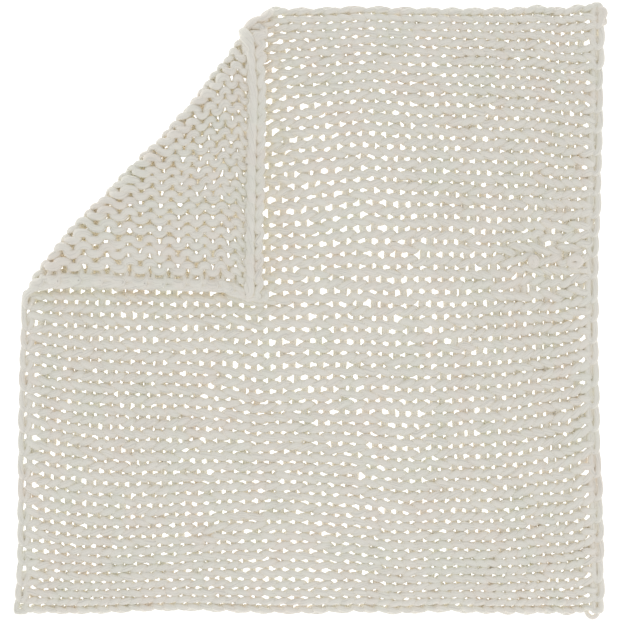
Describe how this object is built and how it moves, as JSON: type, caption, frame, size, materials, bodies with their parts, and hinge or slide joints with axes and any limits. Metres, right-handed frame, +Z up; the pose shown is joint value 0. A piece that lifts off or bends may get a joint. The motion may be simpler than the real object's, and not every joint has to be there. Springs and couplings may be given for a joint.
{
  "type": "folded throw blanket",
  "caption": "Chunky hand-knit throw blanket lying flat with one corner folded back over it, knitted from thick off-white yarn with chain edges.",
  "frame": {"origin": "on the ground, under the middle of the throw's box", "axes": "+X across the throw from the cast-on edge to the bind-off edge, +Y along it towards the folded corner's edge, +Z up"},
  "size_m": [1.2771, 1.324, 0.0683],
  "materials": {
    "knit_yarn": "thick soft matt yarn, off-white, knitted in stocking stitch",
    "edge_yarn": "the same yarn in tighter chain and selvedge stitches",
    "yarn_ends": "knotted and looped ends of the same yarn"
  },
  "bodies": {
    "lying_part": {"cast_on_edge": "edge_yarn", "ball_1_knit": "knit_yarn", "ball_2_knit": "knit_yarn", "ball_3_knit": "knit_yarn", "ball_4_knit": "knit_yarn", "bind_off_edge": "edge_yarn", "top_selvedge": "edge_yarn", "bottom_selvedge": "edge_yarn", "bind_off_knot": "yarn_ends", "yarn_tail_loop": "yarn_ends", "yarn_join_knot_inner": "yarn_ends", "yarn_join_knot_outer": "yarn_ends"},
    "fold_turn": {"top_selvedge_turn": "edge_yarn", "ball_2_turn": "knit_yarn", "ball_1_turn": "knit_yarn", "cast_on_edge_turn": "edge_yarn"},
    "folded_corner": {"cast_on_edge_corner": "edge_yarn", "ball_1_corner": "knit_yarn", "ball_2_corner": "knit_yarn", "top_selvedge_corner": "edge_yarn"}
  },
  "joints": [
    {"name": "fold_opening", "type": "hinge", "parent": "lying_part", "child": "fold_turn", "pos_m": [-0.35229, 0.33252, 0.02068], "axis": [-0.6589, -0.7522, 0], "range_deg": [0, 90]},
    {"name": "corner_opening", "type": "hinge", "parent": "fold_turn", "child": "folded_corner", "pos_m": [-0.35229, 0.33252, 0.04762], "axis": [-0.6589, -0.7522, 0], "range_deg": [0, 90]}
  ],
  "couplings": [
    {"joint": "corner_opening", "follows": "fold_opening", "ratio": 1}
  ]
}
